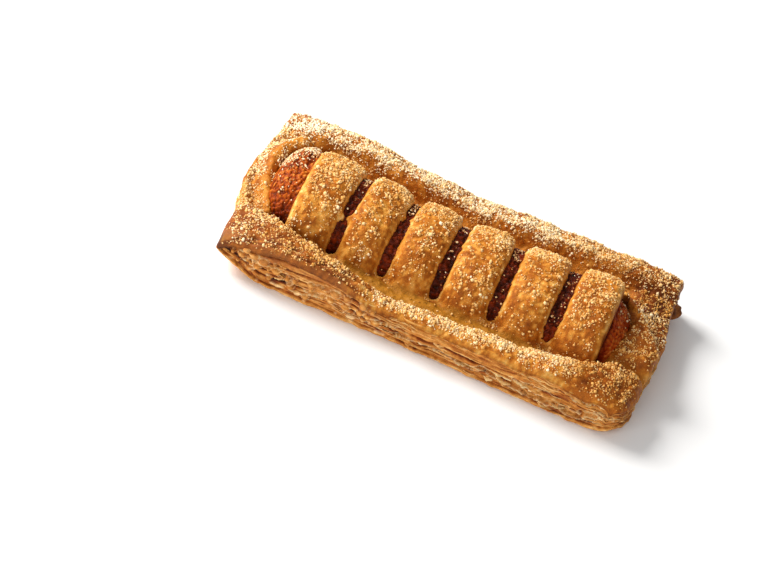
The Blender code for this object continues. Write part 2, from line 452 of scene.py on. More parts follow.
# Outer edge of each mouth, as (place across, place along).
LEFT_MOUTH = [(-24.5, -60.5), (-20, -63.6), (-15.6, -67), (-6, -71.4), (5, -73.4), (14, -73.2),
              (20, -71.2), (25, -66.5), (27, -62)]
RIGHT_MOUTH = [(-23.5, 61.6), (-15, 62.8), (-4, 66.0), (9, 69.6), (13.5, 68.6), (19, 62)]
BAND_START = -61.0
BAND_END = 60.5


def foot_height(x, y):
    """Underside: flat, with the baked corners curled up, the near left one most.

    Each corner is a place along and across, the reach of its curl and its rise.
    """
    corners = [(-83, -40, 25, 8.0), (82, -40, 15, 4.5), (-82, 40, 16, 2.0), (82, 40, 16, 2.5)]
    return sum(
        rise * smooth_step(1 - np.hypot(x - cx, y - cy) / reach) for cx, cy, reach, rise in corners
    )


def slit_gap(x, y):
    """Distance to the nearest slit or mouth cut in the top sheet: below 0 inside it."""
    nearest = np.full(np.shape(x), 1e3)
    ragged = 0.28 * lumps(x, y, 0, 2.4, 31) + 0.12 * lumps(x, y, 0, 0.9, 32)
    for number, (near_x, far_x, near_half, far_half, near_y, far_y) in enumerate(SLITS):
        t = (y - near_y) / (far_y - near_y)
        centre = near_x + (far_x - near_x) * t
        half = near_half + (far_half - near_half) * np.clip(t, 0, 1)
        half = half * (0.78 + 0.22 * smooth_step((y - near_y) / 5))
        # Dough bridges nearly close the first two slits part of the way along.
        if number == 0:
            half = half - 1.7 * bump(x, y, (-42.0, -13.5), (9, 1.3))
        if number == 1:
            half = half - 0.9 * bump(x, y, (-22.0, -2.0), (9, 1.6))
        turn = 1.8
        qx = np.abs(x - centre) - half + turn
        qy = np.maximum(near_y - y, y - far_y) + turn
        gap = np.hypot(np.maximum(qx, 0), np.maximum(qy, 0)) + np.minimum(np.maximum(qx, qy), 0) - turn
        nearest = np.minimum(nearest, gap + ragged)
    left_side = np.interp(y, *np.array(LEFT_MOUTH).T)
    left = np.maximum(np.maximum(left_side - x, x - BAND_START), np.maximum(-24 - y, y - 25.6))
    right_side = np.interp(y, *np.array(RIGHT_MOUTH).T)
    right = np.maximum(np.maximum(x - right_side, BAND_END - x), np.maximum(-23 - y, y - 18))
    return np.minimum(nearest, np.minimum(left * 0.9, right * 0.9) + ragged)


def furrow(x, y):
    """1 on the lines of the slits and mouths, run on past their ends, falling to 0 in mid-band."""
    room = np.minimum(x - BAND_START, BAND_END - x) + 2.5
    for near_x, far_x, near_half, far_half, near_y, far_y in SLITS:
        t = np.clip((y - near_y) / (far_y - near_y), -0.2, 1.2)
        half = near_half + (far_half - near_half) * np.clip(t, 0, 1)
        room = np.minimum(room, np.abs(x - near_x - (far_x - near_x) * t) - half)
    return (1 - np.clip(room, 0, 8) / 8) ** 2.4


def arch(x, y, thinner, draw=0.0):
    """Half-round tunnel over the filling, thinner millimetres inside, its feet drawn in by draw."""
    reach = np.where(y < 0, NEAR_REACH - draw, FAR_REACH) - thinner - draw
    room = 1 - (np.abs(y) / reach) ** np.where(y < 0, 2.8, 2.5)
    crest = eased(x, ARCH_CREST) - thinner
    return ARCH_FOOT + (crest - ARCH_FOOT) * np.sqrt(np.maximum(room, 0))


def border(x, y):
    """Puffed rim: each side a raised shelf that steps down to the valley, joined where they meet."""
    # The near rim is highest along its inner edge and slopes down to the outside.
    lean = 1.2 * smooth_step((y + HALF_WIDTH) / 6)
    near_step = smooth_step((eased(x, NEAR_INNER) - y) / 2.8 + 0.5)
    near = (eased(x, NEAR_CREST) + lean - VALLEY) * near_step
    near = near + 3.9 * (1 - near_step) * smooth_step((-18 - y) / 4) * smooth_step((66 - np.abs(x)) / 6)
    far = (eased(x, FAR_CREST) - VALLEY) * smooth_step((y - eased(x, FAR_INNER)) / 8.0 + 0.5)
    left = (eased(y, LEFT_CREST) - VALLEY) * smooth_step((-62 - x) / 8.0)
    right = (eased(y, RIGHT_CREST) - VALLEY) * smooth_step((x - 60) / 8.0)
    rim = soft_max(soft_max(near, far, 0.7), soft_max(left, right, 0.7), 0.7) - 0.9
    # The near left tip is pinched thin, and dough laps over itself inside part of the far rim.
    lap = smooth_step((y - 25.6 - 0.9 * lumps(x, 0, 0, 6, 33)) / 0.9) * bump(x, y, (-29, 28), (13, 5))
    return VALLEY + rim - 2.2 * bump(x, y, (-80, -37), (7, 5)) + 2.0 * lap


def from_flap_edge(x, y):
    """Distance inwards from the flap's free upper edge, which runs down and to the right."""
    return -0.8 * (x - 71.5) - 0.6 * (y - 10.0)


def flap(x, y):
    """Torn corner of dough beside the narrow mouth: a pillow, highest at its free edge.

    It slopes down nearwards, and its free edge is rounded as a quarter ellipse over 3.5 mm.
    """
    inside = from_flap_edge(x, y)
    slope = 6.6 - 0.2 * np.maximum(inside - 2.5, 0)
    t = np.clip(inside / 3.5, 0, 1)
    rounded = np.sqrt(t * (2 - t))
    return slope * rounded * smooth_step((y + 17.0) / 5) * smooth_step((x - 57) / 4)


def on_left_face(x, y):
    """1 on the outer face of the near rim's left half, where the crust has drawn into fused strips."""
    return smooth_step((-14 - x) / 14) * smooth_step((-32.2 - y) / 2.5)


def face_stripes(x, y, inwards):
    """1 on the two thin wavering furrows between the fused strips, which meet at the pinched tip."""
    spread = smooth_step((x + 80) / 16)
    first = ridge(inwards, (3.9 + 0.7 * lumps(x, 0, 0, 9, 18)) * spread, 0.42)
    second = ridge(inwards, (1.6 + 0.6 * lumps(x, 0, 0, 7, 19)) * spread, 0.38)
    return np.maximum(first, second) * on_left_face(x, y)


def sheet_height(x, y, detail=True):
    """Top of the baked lid: the rim and the banded arch, whichever is higher, cut at slits and mouths."""
    inwards = np.maximum(border_distance(x, y), 0)
    gap = slit_gap(x, y)
    hollow = furrow(x, y)
    rim = border(x, y) + flap(x, y)
    # A raised collar runs round the wide mouth, with a groove behind it that fades at the far rim.
    at_left = smooth_step((-60.5 - x) / 3) * smooth_step((y + 22) / 5)
    collar = 2.4 * ridge(gap, 2.6, 2.1) * (1 - 0.6 * smooth_step((y - 14) / 6))
    groove = 1.7 * ridge(gap, 7.2, 1.6) * smooth_step((31 - y) / 7)
    rim = rim + at_left * (collar - groove)
    # A crease parts the flap from the near rim, and another runs round the near feet of the bands.
    rim = rim - 2.2 * ridge(y, -17.6, 1.3) * smooth_step((x - 63) / 4)
    rim = rim - 0.5 * ridge(y, -NEAR_REACH - 0.6 + 2.4 * hollow, 1.3) * smooth_step((60 - np.abs(x)) / 6)
    along = smooth_step((x + 62.4) / 1.5) * smooth_step((61.9 - x) / 1.5)
    dome = arch(x, y, 0, 1.3 * hollow) * along - (2.0 + 0.7 * smooth_step((-17 - y) / 6)) * hollow
    height = soft_max(rim, dome, 0.8)
    on_arch = smooth_step((dome - rim) / 3)
    if detail:
        swell = 0.7 * lumps(x, y, 0, 17, 3) + 0.55 * lumps(x, y, 0, 6.0, 4)
        pores = 0.24 * lumps(x, y, 0, 2.4, 5) + 0.19 * lumps(x, y, 0, 1.1, 6)
        # Small baked bubbles pucker the near halves of the bands.
        pores = pores + 0.34 * (beads(x, y, 0, 2.6, 8)[0] - 0.5) * on_arch * smooth_step((2 - y) / 10)
        height = height + swell * (1 - 0.45 * on_arch) + pores * (0.9 + 0.6 * (1 - on_arch))
        height = height - 0.5 * face_stripes(x, y, inwards)
    # Every cut edge is rolled over, and so is the outer edge, most at the near right.
    height = height - rounded_off(gap, 1.3 + 1.5 * on_arch)
    height = height - rounded_off(inwards, 2.0 + 2.5 * smooth_step((x - 30) / 35) * (y < 0))
    # Inside a slit the sheet drops steeply to below the filling.
    floor = np.minimum(arch(x, y, 4.4) - 1.6, height - 2)
    return height + (floor - height) * np.clip(-gap / 0.8, 0, 1)


def far_swell(x, y):
    """How much wider the filling grows on its far side, where it fills the wide mouth."""
    return 1 + 0.50 * smooth_step((-58.5 - x) / 5) * (y > 0)


def filling_taper(x):
    """1 along the filling, falling to almost 0 at its ends, of which the left is blunter."""
    share = np.abs((x - FILLING_MIDDLE) / TAPER_HALF)
    return np.sqrt(np.maximum(1 - share ** np.where(x < 0, 18, 9), 0.0004))


def filling_height(x, y):
    """Top of the filling, which is half-round and drops off at both ends."""
    taper = filling_taper(x)
    top = arch(x, y / (far_swell(x, y) * taper), SHEET_THICKNESS)
    return FILLING_FLOOR + np.maximum(top - FILLING_FLOOR, 0) * taper


def on_bands(x, y):
    """1 on the bands over the filling, 0 on the rim."""
    return smooth_step((arch(x, y, 0) - border(x, y)) / 3) * (np.abs(x) < 62)


def left_collar(x, y, gap):
    """1 along the raised smooth lip round the wide mouth."""
    return ridge(gap, 2.4, 2.1) * smooth_step((-60.5 - x) / 3) * smooth_step((y + 23) / 5)


def plateau(x, y):
    """1 on the burnt shelf behind the flap."""
    behind = smooth_step(-from_flap_edge(x, y) / 2.5)
    return behind * smooth_step((x - 62) / 5) * smooth_step((y + 20) / 8) * smooth_step((34 - y) / 8)


# ---------------------------------------------------------------- crumb cover


def crumb_cover(x, y):
    """Share of the top that crumbs hide, from 0 to 1.

    They lie thick on the rims' crests, the ends and the far halves of the bands, thin in the valleys,
    on the flap and on the collar, and not at all on cut edges. Clumps break up the even cover.
    """
    gap = slit_gap(x, y)
    z = sheet_height(x, y, False)
    bands = on_bands(x, y)
    patches = lumps(x, y, 0, 6.5, 81)
    clumps = 0.7 * lumps(x, y, 0, 2.8, 82) + 0.6 * lumps(x, y, 0, 1.3, 83)
    band = 0.20 + 0.34 * smooth_step((y + 8) / 22) + 0.14 * patches
    band = band * smooth_step((gap - 0.6) / 1.6)
    near = smooth_step((-15 - y) / 3)
    from_inner = eased(x, NEAR_INNER) - y
    crest = ridge(from_inner, 2.6, 2.8) * smooth_step((from_inner + 0.5) / 1.2)
    rich = smooth_step((x + 26) / 18) * smooth_step((60 - x) / 12)
    near_rim = 0.22 + 0.05 * smooth_step((-20 - x) / 10) + (0.20 + 0.44 * rich) * crest + 0.14 * patches
    near_rim = near_rim * (1 - 0.2 * on_left_face(x, y))
    far_side = smooth_step((y - eased(x, FAR_INNER)) / 4)
    far_rim = 0.12 + 0.50 * far_side + 0.16 * patches
    ends = 0.58 + 0.15 * patches - 0.24 * (x > 0)
    at_end = smooth_step((np.abs(x) - 64) / 5)
    rim = far_rim + (ends - far_rim) * at_end
    rim = rim + (near_rim - rim) * near
    valley = smooth_step((z - np.where(y < 0, 13.3, 10.4)) / 2.0)
    left_end = smooth_step((-71 - x) / 4) * (1 - bump(x, y, (-80.0, -37.6), (5, 4)))
    valley = np.maximum(valley, 0.8 * left_end)
    rim = rim * (0.10 + 0.90 * valley) * (1 - 0.9 * left_collar(x, y, gap))
    rim = rim * (1 - 0.45 * smooth_step(flap(x, y) / 3) * (x > 60))
    cover = rim + (band - rim) * bands
    cover = np.clip(cover + 0.55 * clumps * np.sqrt(np.clip(cover, 0, 1)), 0, 1)
    return np.where(gap > 0.1, cover, 0)


# ---------------------------------------------------------------- top sheet

CRUST_TONES = ["#ECC074", "#DC9E48", "#C67E2A", "#A25812", "#743608", "#461C04"]


def sheet_shade(x, y, z):
    """Colour of the top of the sheet, from pale dough along cut lips to nearly burnt, with painted shade in
    slits.

    The bake, from 0 to 1 along the crust's tones, is mottled, and worked out for bands and rim apart.
    """
    gap = slit_gap(x, y)
    bands = on_bands(x, y)
    patches = grain(x, y, 0, 8, 2, 11)
    bubble = beads(x, y, 0, 2.6, 8)[0]
    mottle = 0.7 * lumps(x, y, z, 2.1, 14) + 0.8 * lumps(x, y, z, 0.95, 15) + 0.7 * (bubble - 0.4)
    toward_near = smooth_step((8 - y) / 18)
    band_bake_and_shade = 0.43 + 0.10 * toward_near + 0.08 * patches + (0.19 + 0.13 * toward_near) * mottle
    band_bake_and_shade = band_bake_and_shade + 0.08 * toward_near * smooth_step((x - 36) / 10)
    band_bake_and_shade = np.minimum(band_bake_and_shade, 0.60 + 0.35 * (band_bake_and_shade - 0.60))
    # The lip of each cut is pale, and the steep face inside it is painted evenly dark brown as shade in the
    # slit.
    band_bake_and_shade = band_bake_and_shade - 0.24 * ridge(gap, 0.8, 0.6) - 0.10 * smooth_step((y - 4) / 12)
    band_bake_and_shade = band_bake_and_shade + (0.80 - band_bake_and_shade) * smooth_step((0.5 - gap) / 0.8)
    # Along the outer faces of the rims the crust is drawn out into fine streaks.
    inwards = border_distance(x, y)
    streaks = lumps(x * 0.22, y, z, 0.7, 16) + 0.7 * lumps(x * 0.6, y, z, 0.5, 17)
    streaks = streaks * smooth_step((6 - inwards) / 3) * (np.abs(y) > 30)
    stripes = face_stripes(x, y, inwards)
    left_face = on_left_face(x, y)
    rim_bake = 0.54 + 0.11 * patches + (0.23 + 0.10 * left_face) * mottle
    rim_bake = rim_bake + 0.20 * streaks + 0.30 * stripes
    rim_bake = rim_bake + 0.33 * smooth_step((-24 - x) / 12) * (y < -20)
    rim_bake = rim_bake + 0.17 * smooth_step((x - 56) / 6)
    rim_bake = np.minimum(rim_bake, 0.64 + 0.4 * (rim_bake - 0.64))
    from_near_rim = y - eased(x, NEAR_INNER)
    valley = 1 - smooth_step((z - np.where(y < 0, 13.6, 10.6)) / np.where(y < 0, 1.6, 3.0))
    rim_bake = rim_bake + (0.45 + 0.12 * mottle - rim_bake) * valley * (from_near_rim > -1)
    bake = rim_bake + (band_bake_and_shade - rim_bake) * bands
    collar = left_collar(x, y, gap)
    bake = bake + (0.48 + 0.10 * mottle - bake) * 0.85 * collar
    # The shelf behind the flap is burnt, the flap's free edge pale with a painted highlight, the far right
    # corner brown and the outer edge of the right half a little paler.
    bake = bake + 0.16 * plateau(x, y)
    # Painted highlight along the flap's free edge.
    bake = bake - 0.22 * ridge(from_flap_edge(x, y), 1.2, 1.3) * (x > 66) * (y > -16)
    bake = bake + 0.12 * smooth_step((x - 70) / 6) * (y > 12)
    bake = bake - 0.08 * smooth_step((inwards - 3) / -3) * (x > -10)
    colour = ramp(bake, CRUST_TONES)
    # Wet dough in the valley stays dull, its olive tint partly painted shade; steamed far edges turn
    # purplish, and the fused strips pinkish.
    in_valley = smooth_step((from_near_rim + 1.5) / 2) * (y < -18) * (np.abs(x) < 62)
    colour = tint(colour, "#A06C1E", 0.7 * valley * (1 - bands) * in_valley)
    colour = tint(colour, "#8C5138", 0.5 * smooth_step((4.5 - inwards) / 3.5) * smooth_step((y - 30) / 5))
    colour = tint(colour, "#B06C34", 0.35 * left_face * (1 - stripes) * (0.8 + 0.5 * patches))
    # The pinched tip is an olive-brown fold with a burnt outline.
    tip = bump(x, y, (-80.0, -37.6), (4.4, 2.8))
    colour = tint(colour, "#8A5A24", tip * (0.9 - 0.8 * mottle))
    return tint(colour, "#542608", 1.4 * tip * smooth_step((1.3 + 1.0 * mottle - inwards) / 1.0))


def build_top_sheet():
    """Height field over the rounded outline, with a lip that turns under its edge and a flat floor."""
    rows, columns = 212, 436
    u, v = np.meshgrid(np.linspace(-1, 1, columns), np.linspace(-1, 1, rows))
    x, y = rounded_plan(u, v)
    z = sheet_height(x, y)
    points = np.stack([x, y, z], -1).reshape(-1, 3)
    rim = grid_rim(rows, columns)
    rx, ry, rz = points[rim].T
    out_x, out_y = outward(rx, ry, 3)
    # Rings of the lip: outwards from the rim and down from it; the last one lies level.
    lip = [(0.2, -0.5), (0.0, -1.2), (-1.2, -1.6), (-5.5, None)]
    rings = []
    for outwards, drop in lip:
        level = np.full(len(rim), 7.5) if drop is None else rz + drop
        rings.append(np.stack([rx + out_x * outwards, ry + out_y * outwards, level], -1))
    faces = [grid_quads(rows, columns)]
    loop = rim
    for number in range(len(lip)):
        below = len(points) + number * len(rim) + np.arange(len(rim))
        faces.append(np.stack([loop, below, np.roll(below, -1), np.roll(loop, -1)], -1))
        loop = below
    shade = sheet_shade(x, y, z).reshape(-1, 3)
    colour = np.concatenate([shade] + [shade[rim] * 0.75] * len(lip))
    dustiness = 0.95 - 0.20 * on_bands(x, y) - 0.25 * (x > 60)
    dust = np.clip(crumb_cover(x, y) * dustiness, 0, 1).ravel()
    dust = np.concatenate([dust, np.zeros(len(lip) * len(rim))])
    return make_piece("top_sheet_crust", np.concatenate([points] + rings), np.concatenate(faces), crust,
                      colour, caps=[loop[::-1]], dust=dust)


# ---------------------------------------------------------------- filling

# The darkest tones are painted shade, for mince deep in the slits.
MINCE_AND_SHADE_TONES = ["#220700", "#4A1402", "#782604", "#A0480C", "#B86018", "#DC943C"]


def build_filling():
    """Long roll of mince: half-round over the base, closed at both ends, covered with packed beads."""
    columns = 440
    t = np.linspace(-1, 1, columns)
    x = FILLING_MIDDLE + FILLING_HALF * (0.3 * np.sin(t * np.pi / 2) + 0.7 * t)
    # Five sixths of the rows lie on the half-round top.
    turn = np.concatenate([np.linspace(0, np.pi, 176), np.linspace(np.pi, 2 * np.pi, 36)[1:-1]])
    rows = len(turn)
    shrink = filling_taper(x)
    across, up = np.cos(turn)[:, None], np.sin(turn)[:, None]
    reach = np.where(across < 0, NEAR_REACH, FAR_REACH) - 4.2
    y = reach * np.sign(across) * np.abs(across) ** 0.9 * shrink
    x = np.broadcast_to(x, y.shape)
    top = np.maximum(arch(x, y / shrink, SHEET_THICKNESS) - FILLING_FLOOR, 0)
    z = FILLING_FLOOR + np.where(up > 0, top * shrink, -0.2 * shrink)
    bead, own = beads(x, y, z, 1.25, 41)
    broad = lumps(x, y, z, 4.5, 46)
    shreds = lumps(x, y, z, 0.8, 47)
    on_top = (up > 0) * smooth_step((shrink - 0.05) / 0.2)
    relief = 0.85 * (bead - 0.5) + 0.45 * shreds + 0.5 * broad
    y = y * (1 + on_top * relief * 0.02) * far_swell(x, y)
    z = z + on_top * relief * (0.9 + 0.15 * smooth_step((np.abs(x) - 58) / 5))
    orange = smooth_step((-57 - x) / 5) * smooth_step((y + 21) / 9)
    right = smooth_step((x - 59) / 5)
    # The mince's own tone varies at random. Painted light is added too: its middle, seen down the slits, is
    # dark as shade under the bands, bead tops are lighter and crevices darker, and both open ends are
    # brighter.
    mince_tone_and_painted_light = 0.14 + 0.10 * bead + 0.22 * (own - 0.5) + 0.12 * broad + 0.10 * shreds
    mince_tone_and_painted_light = mince_tone_and_painted_light + orange * (0.02 + 0.52 * bead + 0.14 * own) + right * (0.30 + 0.40 * bead)
    colour = ramp(mince_tone_and_painted_light, MINCE_AND_SHADE_TONES)
    # Spiced fat tints both open ends, orange on the left and red on the right, over their painted light.
    colour = tint(tint(colour, "#B04A08", 0.2 * orange), "#B42A04", 0.42 * right)
    faces = grid_quads(rows, columns, wrap_rows=True)[:, ::-1]
    index = np.arange(rows * columns).reshape(rows, columns)
    points = np.stack([x, y, z], -1).reshape(-1, 3)
    return make_piece("mince_filling", points, faces, mince, colour.reshape(-1, 3),
                      caps=[index[:, 0], index[::-1, -1]])


# ---------------------------------------------------------------- laminated sides

LAYER_TONES = ["#F4CE8C", "#E09E4E", "#C2782E", "#A0541A", "#722E0C", "#341204"]

COARSE_LAYERS = 5.0
FINE_LAYERS = 14.0
BLISTER_TRIES = 130
SIDE_FLAKES = 150

# Hollows between layers: place along x and y, height, half length and half height of each.
CAVITIES = [
    (20, -40, 4.6, 5.0, 0.8), (29, -40, 5.8, 7.0, 1.1), (38, -40, 5.3, 5.8, 1.8), (44, -40, 3.8, 3.8, 1.2),
    (50.5, -40, 4.5, 4.8, 1.8), (59.5, -40, 4.2, 5.2, 1.6), (66.5, -40, 6.2, 4.4, 1.4),
    (65.5, -40, 3.0, 4.0, 0.7), (52, -40, 11.6, 8.0, 0.55), (64, -40, 11.0, 6.0, 0.6),
    (72, -40, 8.4, 4.0, 0.9), (46, -40, 8.4, 6.0, 0.5),
    (7, -40, 4.8, 6.0, 0.6), (-8, -40, 4.0, 7.0, 0.7), (-23, -40, 3.8, 5.0, 0.8), (-31, -40, 5.4, 3.6, 0.9),
    (-41, -40, 6.4, 3.6, 0.9), (-52, -40, 7.4, 3.2, 0.9), (-12, -40, 7.4, 5.0, 0.5),
    (-55, 40, 5.0, 6.0, 1.1), (-43, 40, 6.4, 4.6, 1.2), (-20, 40, 6.2, 7.0, 0.9), (-6, 40, 4.2, 5.0, 0.9),
    (18, 40, 4.6, 6.0, 1.3), (29, 40, 6.2, 5.0, 1.0), (52, 40, 6.0, 6.0, 1.1), (64, 40, 4.4, 5.0, 1.0),
    (-82, 12, 5.4, 6.0, 1.1), (-82, -2, 6.4, 5.0, 0.9), (-82, -18, 8.2, 5.0, 0.7),
    (82, -20, 5.4, 5.0, 1.1), (82, -8, 4.2, 4.6, 0.9), (82, 14, 5.0, 6.0, 1.1),
]


def side_top(x, y):
    """Height of the laminated side, which meets the top sheet's lip except under the flap."""
    return sheet_height(x, y, False) - 0.3 - flap(x, y)


def cavity(x, y, z):
    """Lens-shaped hollows between layers: 0 at a ragged outline, 1 inside and less than 0 outside."""
    total = -1.0
    droop = 0.7 * lumps(x, y, 0, 5, 65)
    ragged = 0.3 * lumps(x, y, z, 1.7, 66) + 0.2 * lumps(x, y, z, 0.8, 67)
    for cx, cy, cz, length, height in CAVITIES:
        along = np.hypot(x - cx, y - cy) / length
        up = (z - cz - droop) / height
        total = np.maximum(total, 1 - along**2 - up**2 + ragged)
    return np.minimum(total, 1)


def blisters(x, y, z):
    """Baked bubbles in the left part of the near side: flat domes and the rings round them.

    They are about 1 to 5 mm long, and a bubble that would overlap an earlier one is left out.
    """
    random = np.random.default_rng(21)
    dome = np.zeros(np.broadcast_shapes(np.shape(x), np.shape(z)))
    ring = np.zeros_like(dome)
    here = (y < -30) * 1.0
    placed = []
    for _ in range(BLISTER_TRIES):
        cx = random.uniform(-74, -16)
        cz = random.normal(8.2, 1.7) + 2.2 * smooth_step((-50 - cx) / 24)
        radius = random.uniform(0.6, 1.7)
        if any(np.hypot((cx - ox) / 1.25, cz - oz) < 1.02 * (radius + other) for ox, oz, other in placed):
            continue
        placed.append((cx, cz, radius))
        away = np.sqrt(((x - cx) / random.uniform(1.0, 1.5)) ** 2 + (z - cz) ** 2) / radius
        dome = np.maximum(dome, np.sqrt(np.maximum(1 - away**2, 0)) * here)
        ring = np.maximum(ring, ridge(away, 1.06, 0.13) * here)
    return dome, ring * (dome <= 0)


def build_sides():
    """Ring round the roll: a wall of baked layers, fused in places and parted in others, over a thin plank.

    The layers run level but for long waves, and draw together at the pinched near left tip. Dark lines of
    painted shade mark where they part, at two spacings, and between them the thin leaves show as long
    streaks.
    """
    count, levels = 1080, 87
    px, py, nx, ny = outline(count)
    foot, head = foot_height(px, py), side_top(px, py)
    t = np.linspace(0, 1, levels)[:, None]
    z = foot + (head + flap(px, py) - foot) * t
    # Above the head, under the flap, the layers give way to plain dough.
    t = (z - foot) / (head - foot)
    layered = smooth_step((1.02 - t) / 0.06)
    spread = 0.35 + 0.65 * smooth_step(np.hypot(px + 82, py + 40) / 26)
    share = 0.6 + (t - 0.6) / spread
    wave = 0.5 * lumps(px, py, 0, 30, 51) + 0.45 * lumps(px, py, share * 9, 12, 52)
    thick = (head - foot) * spread
    coarse = COARSE_LAYERS * share + wave
    fine = FINE_LAYERS * share + 2.4 * wave + 0.5 * lumps(px, py, share * 16, 5, 53)
    number = np.floor(coarse)
    seam, small_seam = np.rint(coarse), np.rint(fine)
    opened = smooth_step((lumps(px, py, seam * 7.7, 17, 54) + 0.35) / 0.5)
    parted = smooth_step((lumps(px, py, small_seam * 7.7, 8, 68) + 0.15) / 0.5)
    # The upper layers of the left part are fused into smooth strips under the crust.
    fused = smooth_step((t - 0.6) / 0.1) * smooth_step((-8 - px) / 16) * (py < 0)
    # Partings between layers, wide and narrow, are recessed and painted dark as shade.
    wide = ridge(np.abs(coarse - seam) * thick / COARSE_LAYERS, 0, 0.24 + 0.16 * opened) * opened * layered
    narrow = ridge(np.abs(fine - small_seam) * thick / FINE_LAYERS, 0, 0.17)
    narrow = narrow * parted * (1 - 0.5 * fused) * layered
    streaks = lumps(px * 0.14, py * 0.14, share * 15 + wave, 0.7, 60)
    streaks = streaks + 0.6 * lumps(px * 0.3, py * 0.3, z, 0.5, 63)
    frayed = lumps(px * 0.6, py * 0.6, z, 0.7, 62)
    shelf = 0.6 * lumps(px, py, number * 5.7, 13, 56) + 0.35 * lumps(px, py, np.floor(fine) * 9.1, 4, 55)
    # Pale lines along the leaves' edges, standing out a little, are partly paler dough and partly painted
    # highlight.
    edges = ridge(np.abs(fine - small_seam), 0.36, 0.1) * parted
    stand = -0.55 + shelf * (1 - 0.7 * fused) - 1.1 * wide - 0.5 * narrow
    stand = stand + 0.2 * edges + 0.15 * streaks + 0.2 * frayed
    bake = 0.38 + 0.22 * streaks + 0.10 * frayed - 0.22 * edges + 0.56 * wide + 0.32 * narrow
    bake = bake + 0.14 * lumps(px, py, number * 3.1, 14, 59) + 0.10 * lumps(px, py, z, 3.5, 61)
    bake = bake - 0.12 * smooth_step((stand + 0.5) / 1.0) + 0.05 * (t < 0.5)
    bake = bake + 0.14 * lumps(px * 0.5, py * 0.5, z, 1.1, 57) * smooth_step((-12 - px) / 14) * (py < 0)
    # Pale shreds stand out low on the wall.
    shreds = smooth_step((grain(px * 0.55, py * 0.55, z, 1.7, 2, 69) - 0.52) / 0.25)
    shreds = shreds * smooth_step((0.75 - t) / 0.2)
    stand = stand + 0.6 * shreds
    bake = bake - 0.34 * shreds
    # Hollows are smooth and tan inside, with painted shade under their roofs, and pale torn outlines.
    depth = cavity(px, py, z)
    hollow = smooth_step(depth / 0.5)
    torn = ridge(depth, -0.12, 0.16)
    stand = stand - (2.6 + stand) * hollow + 0.35 * torn
    roof_shade = np.clip(cavity(px, py, z - 0.7) - cavity(px, py, z + 0.7), -1, 1)
    bake = bake + (0.50 + 0.36 * roof_shade + 0.10 * streaks - bake) * hollow * 0.9 - 0.42 * torn
    # Blisters are tan domes with a painted highlight at the top, and a thin pale ring.
    dome, ring = blisters(px, py, z)
    stand = stand + (1.4 * dome - 0.5 - stand) * smooth_step(dome * 3) + 0.45 * ring
    bake = bake + (0.50 - 0.34 * dome + 0.14 * frayed - bake) * smooth_step(dome * 2) * 0.8 - 0.3 * ring
    # The lowest layer is a thin pale plank, parted from the others by a dark line of painted shade.
    plank_top = foot + 1.5 + 0.5 * lumps(px, py, 0, 9, 64)
    plank = smooth_step((plank_top - z) / 0.3)
    line = ridge(z - plank_top, 0.35, 0.26)
    plank_stand = 0.1 + 0.4 * lumps(px, py, 0, 3.0, 58) + 0.15 * frayed
    plank_bake = 0.24 + 0.14 * frayed + 0.14 * streaks
    stand = stand + (plank_stand - stand) * plank - 0.8 * line * (1 - plank)
    bake = bake + (plank_bake - bake) * plank * 0.9 + 0.40 * line * (1 - plank)
    stand = stand - 0.9 * smooth_step((foot + 0.8 - z) / 0.8) ** 2
    colour = ramp(bake, LAYER_TONES)
    colour = tint(colour, "#AC6A36", fused * (0.35 + 0.2 * streaks) * (1 - wide))
    colour = tint(colour, "#B4742E", 0.6 * (1 - layered))
    torn_pale = 0.25 * ring + 0.35 * shreds * smooth_step((10 - px) / 30) + 0.5 * torn * (1 - hollow)
    colour = tint(colour, "#F8DCAC", torn_pale * (1 - plank))
    outer = np.stack([px + nx * stand, py + ny * stand, z], -1)
    inner = [np.stack([px - nx * inset, py - ny * inset, level], -1)[None]
             for inset, level in ((7, head - 1.6), (7, foot + 0.6), (3, foot + 0.05))]
    points = np.concatenate([outer] + inner).reshape(-1, 3)
    hidden = np.broadcast_to(linear("#B98048"), (len(inner), count, 3))
    colour = np.concatenate([colour, hidden]).reshape(-1, 3)
    faces = grid_quads(levels + len(inner), count, wrap_rows=True, wrap_columns=True)
    return make_piece("laminated_sides", points, faces, leaves, colour)


